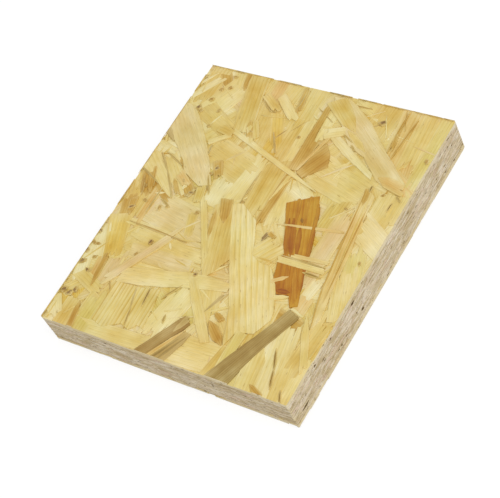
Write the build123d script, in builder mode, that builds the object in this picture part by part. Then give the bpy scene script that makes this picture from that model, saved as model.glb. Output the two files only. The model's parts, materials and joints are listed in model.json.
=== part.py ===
from build123d import *
import os

# Offcut of oriented strand board: one flat panel, pressed from wood strands and sawn square on four sides.
# The origin is at the middle of the underside. X runs along the short side, Y along the long side, Z up.

# Driving dimensions, in millimetres
panel_width = 127.0
panel_length = 144.0
panel_thickness = 18.0  # over the strands that lie highest
arris = 0.4  # break on the sawn edges from handling
saw_allowance = 6.0  # pressed board that the saw takes off each side

# Main strands of the top face, which stand proud of the mat that they were pressed into
strand_relief = 0.6
strand_width = 12.0
under_relief_share = 0.5  # height of the strands that lie under others, of the full relief

# Each row is a strand: where its middle line starts and ends, as shares of the panel's width and length
# from the front left corner, and then its width at the start and at the end, as shares of strand_width
under_strand_shares = (
    (0.218, 1.020, 0.278, 0.810, 0.75, 0.70),
    (0.543, 0.961, 0.554, 0.690, 0.25, 0.42),
    (0.620, 0.849, 0.835, 0.745, 0.32, 0.22),
    (0.638, 0.800, 0.594, 0.705, 0.60, 0.50),
    (-0.030, 0.627, 0.178, 0.500, 0.80, 0.20),
    (0.395, 0.529, 0.483, 0.312, 0.70, 0.65),
    (0.188, 0.209, 0.590, 0.273, 0.58, 0.32),
    (0.275, 0.180, 0.285, 0.050, 1.80, 1.90),
)
over_strand_shares = (
    (-0.030, 0.810, 0.280, 0.571, 1.20, 0.50),
    (0.250, 0.783, 0.680, 0.650, 0.20, 0.17),
    (0.551, 0.966, 0.957, 0.731, 0.85, 0.65),
    (0.864, 0.690, 0.942, 0.243, 0.44, 0.32),
    (0.657, 0.608, 0.812, 0.291, 1.20, 0.80),
    (0.485, 0.530, 0.737, 0.146, 0.90, 1.60),
    (0.436, 0.283, 0.622, 0.093, 0.27, 0.27),
    (0.300, 0.406, 0.130, 0.159, 0.32, 0.30),
    (0.523, 0.137, 0.405, -0.030, 0.42, 0.38),
    (0.549, 0.103, 0.470, -0.030, 0.30, 0.55),
    (0.862, 0.262, 0.735, -0.030, 0.50, 0.85),
)

# Voids between the core strands, cut open on the right-hand side
void_height = 1.1
void_depth = 1.6
void_lengths = (5.0, 3.0, 2.2)
void_along_shares = (-0.446, -0.143, -0.119)  # of the panel's length, from its middle
void_up_shares = (0.28, 0.78, 0.28)  # of the panel's thickness, from the underside
void_closing_share = 0.4  # size of a void at its bottom, of its size at the mouth


def strand_outline(start, end, start_width, end_width):
    """Tapered strip along the line from start to end, cut square across its ends."""
    across = (end - start).normalized().rotate(Axis.Z, 90)
    with BuildSketch() as outline:
        with BuildLine():
            Polyline(
                start + across * start_width / 2,
                end + across * end_width / 2,
                end - across * end_width / 2,
                start - across * start_width / 2,
                close=True,
            )
        make_face()
    return outline.sketch


def void_outline(length, height):
    """Lens between two strands: two shallow arcs that meet in sharp ends."""
    with BuildSketch() as outline:
        with BuildLine():
            upper = SagittaArc((-length / 2, 0), (length / 2, 0), height / 2)
            SagittaArc(upper @ 1, upper @ 0, height / 2)
        make_face()
    return outline.sketch


with BuildPart() as osb_panel:
    # Size that the board is sawn to, with its edges broken
    with BuildSketch():
        Rectangle(panel_width, panel_length)
    extrude(amount=panel_thickness)
    chamfer(osb_panel.edges(), arris)

    # Board as pressed, larger than the panel: the mat and the main strands on it, which run past the saw cuts
    with BuildPart(mode=Mode.INTERSECT):
        with BuildSketch():
            Rectangle(panel_width + 2 * saw_allowance, panel_length + 2 * saw_allowance)
        extrude(amount=panel_thickness - strand_relief)
        mat_face = Plane.XY.offset(panel_thickness - strand_relief)
        for rows, relief_share in ((under_strand_shares, under_relief_share), (over_strand_shares, 1)):
            with BuildSketch(mat_face):
                for start_x, start_y, end_x, end_y, start_share, end_share in rows:
                    start = Vector((start_x - 1 / 2) * panel_width, (start_y - 1 / 2) * panel_length)
                    end = Vector((end_x - 1 / 2) * panel_width, (end_y - 1 / 2) * panel_length)
                    add(strand_outline(start, end, start_share * strand_width, end_share * strand_width))
            extrude(amount=relief_share * strand_relief)

    # Each void narrows inwards from its mouth on the sawn side
    right_side = Plane(origin=(panel_width / 2, 0, 0), x_dir=(0, 1, 0), z_dir=(1, 0, 0))
    for length, along_share, up_share in zip(void_lengths, void_along_shares, void_up_shares):
        middle = Location((along_share * panel_length, up_share * panel_thickness))
        with BuildSketch(right_side):
            with Locations(middle):
                add(void_outline(length, void_height))
        with BuildSketch(right_side.offset(-void_depth)):
            with Locations(middle):
                add(void_outline(void_closing_share * length, void_closing_share * void_height))
        loft(mode=Mode.SUBTRACT)

osb_panel.part.label = "osb_panel"

os.makedirs("parts", exist_ok=True)
export_step(osb_panel.part, "parts/osb_panel.step")
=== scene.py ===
import json
import math
import random

import bmesh
import bpy
import numpy as np
from mathutils import Matrix, Vector

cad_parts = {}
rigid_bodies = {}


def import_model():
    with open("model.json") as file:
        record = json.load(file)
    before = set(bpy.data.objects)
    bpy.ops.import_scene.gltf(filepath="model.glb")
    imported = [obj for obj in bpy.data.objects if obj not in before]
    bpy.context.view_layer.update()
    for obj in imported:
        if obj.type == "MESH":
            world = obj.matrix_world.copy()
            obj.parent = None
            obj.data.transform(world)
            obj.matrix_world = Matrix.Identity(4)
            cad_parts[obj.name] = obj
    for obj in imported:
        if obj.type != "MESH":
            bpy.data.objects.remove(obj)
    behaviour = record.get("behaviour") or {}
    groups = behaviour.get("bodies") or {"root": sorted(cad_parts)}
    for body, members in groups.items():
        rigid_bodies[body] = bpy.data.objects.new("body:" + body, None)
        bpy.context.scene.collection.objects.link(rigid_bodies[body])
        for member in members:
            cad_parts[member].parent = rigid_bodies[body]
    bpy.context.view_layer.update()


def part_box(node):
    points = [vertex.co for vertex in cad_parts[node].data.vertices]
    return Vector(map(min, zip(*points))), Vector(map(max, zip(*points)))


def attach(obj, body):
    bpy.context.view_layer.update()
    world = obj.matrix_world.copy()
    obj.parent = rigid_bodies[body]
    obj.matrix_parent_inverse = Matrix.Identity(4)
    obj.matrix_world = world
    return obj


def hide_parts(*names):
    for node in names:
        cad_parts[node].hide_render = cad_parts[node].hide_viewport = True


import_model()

# Pressed strands. The board is a mat of flat wood strands, sliced along the grain from pine logs, wetted
# with resin and pressed hot. Here are the woods they come from and the finish that the press leaves.
mm = 0.001
low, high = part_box("osb_panel")
width, length, thickness = high - low

woods = {
    "pale": "#E9DBA6",
    "cream": "#E6D493",
    "straw": "#E0CA82",
    "greenish": "#DAC778",
    "tan": "#DFCA92",
    "pink tan": "#DFC792",
    "warm straw": "#E1C786",
    "honey": "#DBB972",
    "yellow": "#DABF70",
    "gold": "#DABA5A",
    "ochre": "#D6BA66",
    "brown ochre": "#C59F4A",
    "amber": "#B87F18",
    "deep amber": "#A4640A",
    "gold amber": "#B8801E",
    "dark amber": "#8E5E18",
    "olive": "#A98F52",
    "pale olive": "#C6AE72",
    "brown olive": "#A88849",
    "stain": "#B8964E",
    # darker tone of the split lines, partly cracks and partly painted shade along strand edges and gaps
    "split": "#BBA05C",
    "knot": "#8A6A38",
}


def linear(code):
    """Linear colour of an sRGB hex code."""
    values = [int(code[i:i + 2], 16) / 255 for i in (1, 3, 5)]
    return [v / 12.92 if v <= 0.04045 else ((v + 0.055) / 1.055) ** 2.4 for v in values]


def add_node(tree, kind, inputs=None, **settings):
    """Adds a node. An input is set to a value, or linked to a socket or to a node's first output."""
    made = tree.nodes.new(kind)
    for name, value in settings.items():
        setattr(made, name, value)
    for key, value in (inputs or {}).items():
        if isinstance(value, bpy.types.Node):
            value = value.outputs[0]
        if isinstance(value, bpy.types.NodeSocket):
            tree.links.new(value, made.inputs[key])
        else:
            made.inputs[key].default_value = value
    return made


# Pine strands from the hot press: satin, with growth rings as soft golden lines that end in a sharp edge,
# fine fibres along them, and a few dark resin specks. Each strand's own colour is in its tint, with a painted
# shade on its sloping edges.
pressed_pine = bpy.data.materials.new("hot_pressed_pine_strands")
pressed_pine.use_nodes = True
tree = pressed_pine.node_tree
shader = tree.nodes["Principled BSDF"]
tint = add_node(tree, "ShaderNodeAttribute", attribute_name="tint")
grain = add_node(tree, "ShaderNodeUVMap", uv_map="grain")
reach = add_node(tree, "ShaderNodeUVMap", uv_map="reach")
places = add_node(tree, "ShaderNodeTexCoord").outputs["Object"]

# Patterns along the grain: the length and width of their marks in millimetres, their detail and their shift.
# The grain map counts millimetres along a strand and growth rings across it, most of them about this wide.
ring_width = 1.6
patterns = {}
for name, mark_long, mark_wide, detail, shift in (
    ("wander", 44, 5.3, 2, 0),
    ("fade", 28, 2.7, 1, 0),
    ("drift", 25, 7.3, 3, 7),
    ("fibre", 8, 0.23, 3, 0),
    ("speck", 4, 0.5, 2, 31),
):
    mapped = add_node(tree, "ShaderNodeMapping", {"Vector": grain, "Location": (shift, shift, 0),
                                                  "Scale": (1 / mark_long, ring_width / mark_wide, 1)})
    patterns[name] = add_node(tree, "ShaderNodeTexNoise", {"Vector": mapped, "Scale": 1, "Detail": detail},
                              noise_dimensions="2D")

# Growth rings wander a little along the strand and fade in and out
across = add_node(tree, "ShaderNodeSeparateXYZ", {0: grain})
wandered = add_node(tree, "ShaderNodeMath", {0: patterns["wander"], 1: 0.9, 2: across.outputs["Y"]},
                    operation="MULTIPLY_ADD")
phase = add_node(tree, "ShaderNodeMath", {0: wandered}, operation="FRACT")
ring = add_node(tree, "ShaderNodeValToRGB", {0: phase})
ring_stops = ring.color_ramp.elements
ring_stops[0].position = 0.15
ring_stops[1].position = 0.82
for share, value in ((0.55, 0.2), (0.9, 1.0), (1.0, 0.0)):
    ring_stops.new(share).color = (value, value, value, 1)
faded = add_node(tree, "ShaderNodeMapRange", {0: patterns["fade"], 1: 0.3, 2: 0.7, 3: 0.25, 4: 1.0})
shown_ring = add_node(tree, "ShaderNodeMath", {0: ring, 1: faded}, operation="MULTIPLY")
ring_share = add_node(tree, "ShaderNodeMath", {0: shown_ring, 1: tint.outputs["Alpha"]}, operation="MULTIPLY")

# Late wood, heartwood and resin deepen the colour, so each raises the tint to a power. Resin lies in patches.
patch_wide = 11 * mm
patch = add_node(tree, "ShaderNodeTexNoise", {"Vector": places, "Scale": 1 / patch_wide, "Detail": 4})
patch_depth = add_node(tree, "ShaderNodeMapRange", {0: patch, 1: 0.3, 2: 0.7, 3: 0.76, 4: 1.2})
drift_depth = add_node(tree, "ShaderNodeMapRange", {0: patterns["drift"], 1: 0.3, 2: 0.7, 3: 0.84, 4: 1.2})
depth = add_node(tree, "ShaderNodeMath", {0: drift_depth, 1: patch_depth}, operation="MULTIPLY")
ringed_depth = add_node(tree, "ShaderNodeMath", {0: ring_share, 1: 0.55, 2: depth}, operation="MULTIPLY_ADD")

# Resin carries some of a strand's colour off from its edges, so these are nearer to the whole board's colour
place_in = add_node(tree, "ShaderNodeSeparateXYZ", {0: reach})
near_end = add_node(tree, "ShaderNodeMath", {0: place_in.outputs["X"]}, operation="ABSOLUTE")
near_side = add_node(tree, "ShaderNodeMath", {0: place_in.outputs["Y"]}, operation="ABSOLUTE")
near_edge = add_node(tree, "ShaderNodeMath", {0: near_end, 1: near_side}, operation="MAXIMUM")
frayed = add_node(tree, "ShaderNodeMath", {0: patterns["drift"], 1: 0.7, 2: near_edge},
                  operation="MULTIPLY_ADD")
washed = add_node(tree, "ShaderNodeMapRange", {0: frayed, 1: 0.8, 2: 1.4, 3: 0.0, 4: 0.75})
soft_tint = add_node(tree, "ShaderNodeMix", {0: washed, 6: tint, 7: (*linear("#E1CD8E"), 1)},
                     data_type="RGBA")
ringed = add_node(tree, "ShaderNodeGamma", {0: soft_tint.outputs[2], 1: ringed_depth})

# Heat from the press leaves warm and greenish stains, a few centimetres across
stain_wide = 24 * mm
stain = add_node(tree, "ShaderNodeTexNoise", {"Vector": places, "Scale": 1 / stain_wide, "Detail": 3})
stain_hue = add_node(tree, "ShaderNodeValToRGB", {0: stain})
for stop, share, colour in zip(stain_hue.color_ramp.elements, (0.34, 0.68), ("#FBFDF2", "#FFF9EE")):
    stop.position = share
    stop.color = (*linear(colour), 1)
stained = add_node(tree, "ShaderNodeMix", {0: 1.0, 6: ringed, 7: stain_hue}, data_type="RGBA",
                   blend_type="MULTIPLY")

# Fibres lighten and darken it, and resin specks and short dark hairs lie along the grain
fibre_light = add_node(tree, "ShaderNodeMapRange", {0: patterns["fibre"], 1: 0.25, 2: 0.75, 3: 0.88, 4: 1.1})
fibred = add_node(tree, "ShaderNodeVectorMath", {0: stained.outputs[2], "Scale": fibre_light},
                  operation="SCALE")
speck_share = add_node(tree, "ShaderNodeMapRange", {0: patterns["speck"], 1: 0.7, 2: 0.8, 3: 0.0, 4: 0.55})
specked = add_node(tree, "ShaderNodeMix", {0: speck_share, 6: fibred, 7: (*linear("#9A7434"), 1)},
                   data_type="RGBA")
tree.links.new(specked.outputs[2], shader.inputs["Base Color"])
relief = add_node(tree, "ShaderNodeMath", {0: shown_ring, 1: -0.4, 2: patterns["fibre"]},
                  operation="MULTIPLY_ADD")
bump = add_node(tree, "ShaderNodeBump", {"Strength": 0.3, "Distance": 0.12 * mm, "Height": relief})
tree.links.new(bump.outputs[0], shader.inputs["Normal"])
roughness = add_node(tree, "ShaderNodeMapRange", {0: patterns["fibre"], 1: 0.3, 2: 0.7, 3: 0.58, 4: 0.72})
tree.links.new(roughness.outputs[0], shader.inputs["Roughness"])
shader.inputs["IOR"].default_value = 1.5

# The saw leaves the ends of the strands fuzzy and dull: grey-beige, mottled by flecks that lie flat
# in the board, with open pores between them.
sawn_pine = bpy.data.materials.new("saw_cut_pine_strands")
sawn_pine.use_nodes = True
tree = sawn_pine.node_tree
shader = tree.nodes["Principled BSDF"]
tint = add_node(tree, "ShaderNodeAttribute", attribute_name="tint")
places = add_node(tree, "ShaderNodeTexCoord").outputs["Object"]

# Patterns that lie flat in the board: the length and height of their marks in millimetres, and their detail
flat_patterns = {}
for name, mark_long, mark_tall, detail, coarseness in (
    ("bundle", 11, 4, 2, 0.5),
    ("fleck", 1.6, 0.6, 4, 0.65),
):
    scales = (1 / (mark_long * mm), 1 / (mark_long * mm), 1 / (mark_tall * mm))
    mapped = add_node(tree, "ShaderNodeMapping", {"Vector": places, "Scale": scales})
    flat_patterns[name] = add_node(tree, "ShaderNodeTexNoise",
                                   {"Vector": mapped, "Scale": 1, "Detail": detail, "Roughness": coarseness})

# Bundles of like strands are deeper or paler than others, with flecks and open pores in the cut wood
bundle_depth = add_node(tree, "ShaderNodeMapRange", {0: flat_patterns["bundle"], 1: 0.35, 2: 0.65,
                                                     3: 0.88, 4: 1.17})
bundled = add_node(tree, "ShaderNodeGamma", {0: tint, 1: bundle_depth})
pore_wide = 0.8 * mm
fleck = flat_patterns["fleck"]
fleck_light = add_node(tree, "ShaderNodeMapRange", {0: fleck, 1: 0.3, 2: 0.7, 3: 0.86, 4: 1.1})
flecked = add_node(tree, "ShaderNodeVectorMath", {0: bundled, "Scale": fleck_light}, operation="SCALE")
pore = add_node(tree, "ShaderNodeTexNoise", {"Vector": places, "Scale": 1 / pore_wide, "Detail": 3})
pore_share = add_node(tree, "ShaderNodeMapRange", {0: pore, 1: 0.62, 2: 0.72, 3: 0.0, 4: 0.6})
pored = add_node(tree, "ShaderNodeMix", {0: pore_share, 6: flecked, 7: (*linear("#7E6844"), 1)},
                 data_type="RGBA")
tree.links.new(pored.outputs[2], shader.inputs["Base Color"])
fuzz = add_node(tree, "ShaderNodeMath", {0: pore_share, 1: -0.8, 2: fleck}, operation="MULTIPLY_ADD")
bump = add_node(tree, "ShaderNodeBump", {"Strength": 0.5, "Distance": 0.25 * mm, "Height": fuzz})
tree.links.new(bump.outputs[0], shader.inputs["Normal"])
shader.inputs["Roughness"].default_value = 0.88
shader.inputs["IOR"].default_value = 1.5

finishes = {"pressed": 0, "sawn": 1}  # places of the two materials on the board
side_step = 7 * mm  # between the points of a strand's sides
wobble = 0.16 * mm  # of its sides
skirt = 0.14 * mm  # how far a pressed edge slopes outwards
strand_depth = 1.1 * mm
painted_edge_shade = 0.88  # painted shade on a strand's sloping edges, as a share of its own colour
pointed = ("point", "point")  # both ends of a splinter or an opening


def strand_outline(long, widths, ends, dice):
    """Corners of a strand that lies along x, anticlockwise, its ends cut, split or pointed."""
    taper_share = 0.35  # of a pointed strand's length
    tip_share = 0.12  # of its width
    bow = 0.8  # power of the taper: below 1 its sides are rounded outwards
    most_slant = 0.5  # slope of an end that is out of square
    cut_reach = min(0.02 * long, 0.5 * mm)  # how far a cut end is out of true
    cut_corner_shares = (-1, -0.35, 0.3, 1)  # of half its width
    split_reach = min(0.14 * long, 4.5 * mm)  # how far the fingers of a split end reach
    finger_wide = 2.4 * mm
    most_fingers = 5
    tip_start_shares = (0.02, 0.3)  # of a finger's width, where its tip starts
    tip_end_shares = (0.6, 0.9)  # and ends
    gap_shares = (0.3, 1)  # of the reach, how far the gap before a finger goes back from its tip
    drop_shares = (0, 0.3)  # and how far the tip slopes back
    last_drop_share = 0.2  # and the far side of the last finger
    least_half = 0.05 * mm  # of the width
    steps = max(3, round(long / side_step))

    def half_width(share):
        half = (widths[0] + (widths[1] - widths[0]) * share) / 2
        for end, from_end in ((ends[0], share), (ends[1], 1 - share)):
            if end == "point" and from_end < taper_share:
                half *= tip_share + (1 - tip_share) * (from_end / taper_share) ** bow
        return half

    def end_corners(kind, half):
        if kind == "point":
            return [(0, -half), (0, half)]
        slant = dice.uniform(-most_slant, most_slant)
        if kind == "cut":
            corners = [(slant * half * s, half * s) for s in cut_corner_shares]
            return [(x + dice.uniform(-cut_reach, cut_reach), y) for x, y in corners]
        fingers = min(most_fingers, max(2, round(2 * half / finger_wide)))
        corners = []
        for k in range(fingers):
            lower = 2 * (k + dice.uniform(*tip_start_shares)) / fingers - 1
            upper = 2 * (k + dice.uniform(*tip_end_shares)) / fingers - 1
            tip = slant * half * lower + dice.uniform(-1, 1) * split_reach
            corners.append((tip - dice.uniform(*gap_shares) * split_reach, half * (2 * k / fingers - 1)))
            corners.append((tip, half * lower))
            corners.append((tip - dice.uniform(*drop_shares) * split_reach, half * upper))
        corners.append((corners[-1][0] - last_drop_share * split_reach, half))
        return corners

    def side(sign):
        line = []
        for k in range(1, steps):
            half = half_width(k / steps) + dice.uniform(-wobble, wobble)
            line.append((long * (k / steps - 0.5), sign * max(half, least_half)))
        return line

    corners = [(long / 2 + x, y) for x, y in end_corners(ends[1], half_width(1))]
    corners += reversed(side(1))
    corners += [(-long / 2 - x, -y) for x, y in end_corners(ends[0], half_width(0))]
    corners += side(-1)
    return corners


def grain_start(dice):
    """Where in the log a strand was sliced: millimetres along the grain and rings across it."""
    log_long = 1800
    log_rings = 90
    return dice.uniform(0, log_long), dice.uniform(0, log_rings)


def strand_mesh(corners, ring_spacing=mm, start=(0, 0), depth=strand_depth, slope=skirt, wash=0.0):
    """Closed slab under an outline: its top face at z = 0, and edges that slope out as the press leaves them.
    Its grain map counts millimetres along it in u and growth rings across it in v. Its reach map goes from 0
    in the middle to the wash at its ends and sides."""
    corners = np.array(corners)
    count = len(corners)
    rings = [corners, corners]
    heights = [0, -depth]
    if slope:
        normals = np.zeros_like(corners)
        for edge in (corners - np.roll(corners, 1, axis=0), np.roll(corners, -1, axis=0) - corners):
            normals += np.stack((edge[:, 1], -edge[:, 0]), 1) / np.linalg.norm(edge, axis=1)[:, None]
        sharpest = 0.35  # so that the foot of a pointed corner stays near it
        foot = corners + slope * normals / np.maximum(np.linalg.norm(normals, axis=1), sharpest)[:, None]
        rings = [corners, foot, foot]
        heights = [0, -slope, -depth]
    vertices = [(x, y, h) for ring, h in zip(rings, heights) for x, y in ring]
    total = len(vertices)
    faces = [tuple(range(count)), tuple(range(total - 1, total - count - 1, -1))]
    for top in range(0, total - count, count):
        for k in range(count):
            j = (k + 1) % count
            faces.append((top + k, top + count + k, top + count + j, top + j))
    mesh = bpy.data.meshes.new("strand")
    mesh.from_pydata(vertices, [], faces)
    spots = np.array([vertices[v][:2] for f in faces for v in f])
    grain_map = spots / (mm, ring_spacing) + start
    mesh.uv_layers.new(name="grain").data.foreach_set("uv", grain_map.ravel())
    middle = (corners.max(0) + corners.min(0)) / 2
    reach_map = wash * (spots - middle) / (corners.max(0) - middle)
    mesh.uv_layers.new(name="reach").data.foreach_set("uv", reach_map.ravel())
    # The edge faces get a painted shade, darker than the top and bottom faces, for the shade on a strand's
    # sloping edges
    painted_shade = mesh.attributes.new("painted_shade", "FLOAT", "FACE")
    painted_shade.data.foreach_set("value", [1.0, 1.0] + [painted_edge_shade] * (len(faces) - 2))
    return mesh


def finish_strand(mesh, colour, figure, finish):
    """Gives a strand its colour, darkened on its edges by a painted shade, with the strength of its rings as
    alpha, and its finish.
    """
    count = len(mesh.polygons)
    painted_shades = np.zeros(count)
    mesh.attributes["painted_shade"].data.foreach_get("value", painted_shades)
    colours = np.ones((count, 4))
    colours[:, :3] = painted_shades[:, None] * linear(colour)
    colours[:, 3] = figure
    mesh.attributes.new("tint", "FLOAT_COLOR", "FACE").data.foreach_set("color", colours.ravel())
    mesh.materials.append(pressed_pine)
    mesh.materials.append(sawn_pine)
    mesh.polygons.foreach_set("material_index", [finishes[finish]] * count)
    return mesh


# Scattered strands. Most strands fall on the mat as they come from the former, so their places, turns and
# shapes are random. One node tree scatters a set of shapes through a block of space.
scatter_tree = bpy.data.node_groups.new("scattered_strands", "GeometryNodeTree")
scatter_tree.interface.new_socket("Geometry", in_out="OUTPUT", socket_type="NodeSocketGeometry")
scatter_sockets = {}
for socket_name, socket_kind in (
    ("Shapes", "Collection"),
    ("Count", "Int"),
    ("Low Corner", "Vector"),
    ("High Corner", "Vector"),
    ("Turn From", "Vector"),
    ("Turn To", "Vector"),
    ("Smallest", "Float"),
    ("Largest", "Float"),
    ("Seed", "Int"),
    ("Finish", "Material"),
):
    socket = scatter_tree.interface.new_socket(socket_name, in_out="INPUT",
                                               socket_type="NodeSocket" + socket_kind)
    scatter_sockets[socket_name] = socket.identifier
given = add_node(scatter_tree, "NodeGroupInput").outputs
turn_seed, size_seed, pick_seed = (add_node(scatter_tree, "ShaderNodeMath", {0: given["Seed"], 1: k})
                                   for k in (1, 2, 3))
place = add_node(scatter_tree, "FunctionNodeRandomValue",
                 {0: given["Low Corner"], 1: given["High Corner"], "Seed": given["Seed"]},
                 data_type="FLOAT_VECTOR")
turn = add_node(scatter_tree, "FunctionNodeRandomValue",
                {0: given["Turn From"], 1: given["Turn To"], "Seed": turn_seed}, data_type="FLOAT_VECTOR")
size = add_node(scatter_tree, "FunctionNodeRandomValue",
                {2: given["Smallest"], 3: given["Largest"], "Seed": size_seed}, data_type="FLOAT")
most_picks = 999  # more than there are shapes, because the pick goes round them
pick = add_node(scatter_tree, "FunctionNodeRandomValue", {4: 0, 5: most_picks, "Seed": pick_seed},
                data_type="INT")
points = add_node(scatter_tree, "GeometryNodePoints", {"Count": given["Count"], "Position": place})
shapes = add_node(scatter_tree, "GeometryNodeCollectionInfo",
                  {"Collection": given["Shapes"], "Separate Children": True, "Reset Children": True})
laid = add_node(scatter_tree, "GeometryNodeInstanceOnPoints",
                {"Points": points, "Instance": shapes, "Pick Instance": True,
                 "Instance Index": pick.outputs[2], "Rotation": turn, "Scale": size.outputs[1]})
number = add_node(scatter_tree, "GeometryNodeInputIndex")
numbered = add_node(scatter_tree, "GeometryNodeStoreNamedAttribute",
                    {"Geometry": laid, "Name": "strand", "Value": number}, data_type="INT", domain="INSTANCE")
realized = add_node(scatter_tree, "GeometryNodeRealizeInstances", {0: numbered})
finished = add_node(scatter_tree, "GeometryNodeSetMaterial",
                    {"Geometry": realized, "Material": given["Finish"]})
add_node(scatter_tree, "NodeGroupOutput", {0: finished})
scene = bpy.context.scene


def shape_collection(name, meshes):
    """Collection of shapes for the scatter tree, kept out of the scene."""
    collection = bpy.data.collections.new(name)
    for k, mesh in enumerate(meshes):
        collection.objects.link(bpy.data.objects.new(f"{name}_{k:02d}", mesh))
    return collection


def evaluated_mesh(holder):
    """Plain mesh of an object with its modifiers, which is removed with them."""
    scene.collection.objects.link(holder)
    made = bpy.data.meshes.new_from_object(holder.evaluated_get(bpy.context.evaluated_depsgraph_get()))
    bpy.data.objects.remove(holder)
    return made


def read_values(items, name, size=1, kind=float):
    """One property of a mesh's items as an array, with a row for each item."""
    values = np.zeros(size * len(items), kind)
    items.foreach_get(name, values)
    return values.reshape(-1, size) if size > 1 else values


def scatter(collection, **inputs):
    """Scattered strands as a list of plain meshes, one for each strand."""
    holder = bpy.data.objects.new("scatter", bpy.data.meshes.new("scatter"))
    modifier = holder.modifiers.new("scatter", "NODES")
    modifier.node_group = scatter_tree
    modifier[scatter_sockets["Shapes"]] = collection
    modifier[scatter_sockets["Finish"]] = pressed_pine
    for name, value in inputs.items():
        modifier[scatter_sockets[name.replace("_", " ").title()]] = value
    whole = evaluated_mesh(holder)
    coords = read_values(whole.vertices, "co", 3)
    owners = read_values(whole.attributes["strand"].data, "value", kind=int)
    corners = read_values(whole.loops, "vertex_index", kind=int)
    starts = read_values(whole.polygons, "loop_start", kind=int)
    painted_shades = read_values(whole.attributes["painted_shade"].data, "value")
    maps = {name: read_values(whole.uv_layers[name].data, "uv", 2) for name in ("grain", "reach")}
    ends = np.append(starts[1:], len(corners))
    face_owners = owners[corners[starts]]
    meshes = []
    for strand in range(owners.max() + 1):
        own = np.flatnonzero(owners == strand)
        own_faces = np.flatnonzero(face_owners == strand)
        faces = [tuple(corners[starts[f]:ends[f]] - own[0]) for f in own_faces]
        mesh = bpy.data.meshes.new("strand")
        mesh.from_pydata(coords[own].tolist(), [], faces)
        for name, values in maps.items():
            own_values = np.concatenate([values[starts[f]:ends[f]] for f in own_faces])
            mesh.uv_layers.new(name=name).data.foreach_set("uv", own_values.ravel())
        mesh.attributes.new("painted_shade", "FLOAT", "FACE").data.foreach_set("value", painted_shades[own_faces])
        meshes.append(mesh)
    bpy.data.meshes.remove(whole)
    return meshes


# Shapes of the flakes and of the slivers that break off them: how many, the range of their lengths and
# widths in millimetres, their end width as a share of the first, how their edges slope and their ends
strand_dice = random.Random(5)
bed_ring_widths = (0.9, 2.4)  # in millimetres
beds = {}
for name, count, longs, wides, end_share, slope, end_kinds in (
    ("flake", 24, (34, 78), (5, 19), 0.9, skirt,
     (("cut", "split"), ("cut", "cut"), ("split", "split"), ("cut", "point"))),
    ("sliver", 20, (4, 18), (0.3, 1.5), 1.0, 0.08 * mm,
     (("cut", "point"), pointed, ("split", "point"))),
):
    meshes = []
    for k in range(count):
        ends = strand_dice.choice(end_kinds)
        wide = strand_dice.uniform(*wides) * mm
        long = strand_dice.uniform(*longs) * mm
        outline = strand_outline(long, (wide, end_share * wide), ends, strand_dice)
        ring_spacing = strand_dice.uniform(*bed_ring_widths) * mm
        meshes.append(strand_mesh(outline, ring_spacing, grain_start(strand_dice), slope=slope, wash=1.0))
    beds[name] = shape_collection(name, meshes)

# Both faces are covered with flakes, and with slivers over them, between two depths below the face
bed_woods = {
    "flake": ("cream", "straw", "straw", "tan", "straw", "greenish", "ochre", "pale", "honey", "straw", "tan",
              "gold", "cream", "pink tan", "brown ochre", "straw"),
    "sliver": ("pale", "cream", "straw", "tan", "yellow", "pink tan", "ochre", "stain", "straw", "cream",
               "brown ochre"),
}
lay_tilt = 0.0012  # in radians, about the long and the short axis
bed_sizes = {"smallest": 0.8, "largest": 1.15}  # of a strand, to its shape's own size
strands = []
for name, count, deep, shallow, seed, underside, figures in (
    ("flake", 300, 1.25 * mm, 0.1 * mm, 11, True, (0.15, 0.9)),
    ("flake", 300, 1.25 * mm, 0.8 * mm, 23, False, (0.15, 0.9)),
    ("sliver", 140, 0.66 * mm, 0.1 * mm, 71, True, (0.1, 0.5)),
    ("sliver", 140, 0.66 * mm, 0.38 * mm, 73, False, (0.1, 0.5)),
):
    heights = (shallow, deep) if underside else (thickness - deep, thickness - shallow)
    turn = math.pi if underside else 0
    bed = scatter(beds[name], count=count, low_corner=(low.x, low.y, heights[0]),
                  high_corner=(high.x, high.y, heights[1]), turn_from=(turn - lay_tilt, -lay_tilt, 0),
                  turn_to=(turn + lay_tilt, lay_tilt, math.pi), seed=seed, **bed_sizes)
    for mesh in bed:
        colour = woods[strand_dice.choice(bed_woods[name])]
        strands.append(finish_strand(mesh, colour, strand_dice.uniform(*figures), "pressed"))

# Strand ends on the four sawn sides. The saw cuts the core strands across, so they show as thin flat lenses,
# a fraction of a millimetre proud or short of each other, in greyer tones than the pressed faces.
end_tones = ("#D9CAAC", "#D6C6A8", "#DCCFB4", "#D1C1A0", "#DACAAD", "#D8C5A9", "#CEBD98", "#DACAAE",
             "#DDD0B6", "#D3C2A2", "#CAB891", "#D7C6A8", "#D7BFA5")
lens_count = 16
lens_longs = (2, 3, 4.5, 7, 11)  # in millimetres, before each one's own variation
lens_long_shares = (0.8, 1.2)  # that variation
lens_talls = (0.45, 0.95)  # in millimetres
lens_end_shares = (0.6, 1)  # height at the end, to that at the start
lens_depth = 0.8 * mm
lenses = []
for k in range(lens_count):
    lens_long = strand_dice.choice(lens_longs) * mm * strand_dice.uniform(*lens_long_shares)
    lens_tall = strand_dice.uniform(*lens_talls) * mm
    end_talls = (lens_tall, lens_tall * strand_dice.uniform(*lens_end_shares))
    lens = strand_outline(lens_long, end_talls, pointed, strand_dice)
    lenses.append(strand_mesh(lens, depth=lens_depth, slope=0))
lenses = shape_collection("lens", lenses)
bottom_layer = 1.0 * mm  # of face strands, whose own edges the saw shows
top_layer = 1.7 * mm
saw_relief = 0.12 * mm  # how far a strand end may stay behind the saw cut
least_relief_share = 0.02  # of that
lenses_per_metre = 5000
faint_figure = 0.3  # strength of the rings on strand ends and loose fibres
quarter = math.pi / 2
end_tilt = 0.07  # in radians, from level
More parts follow.
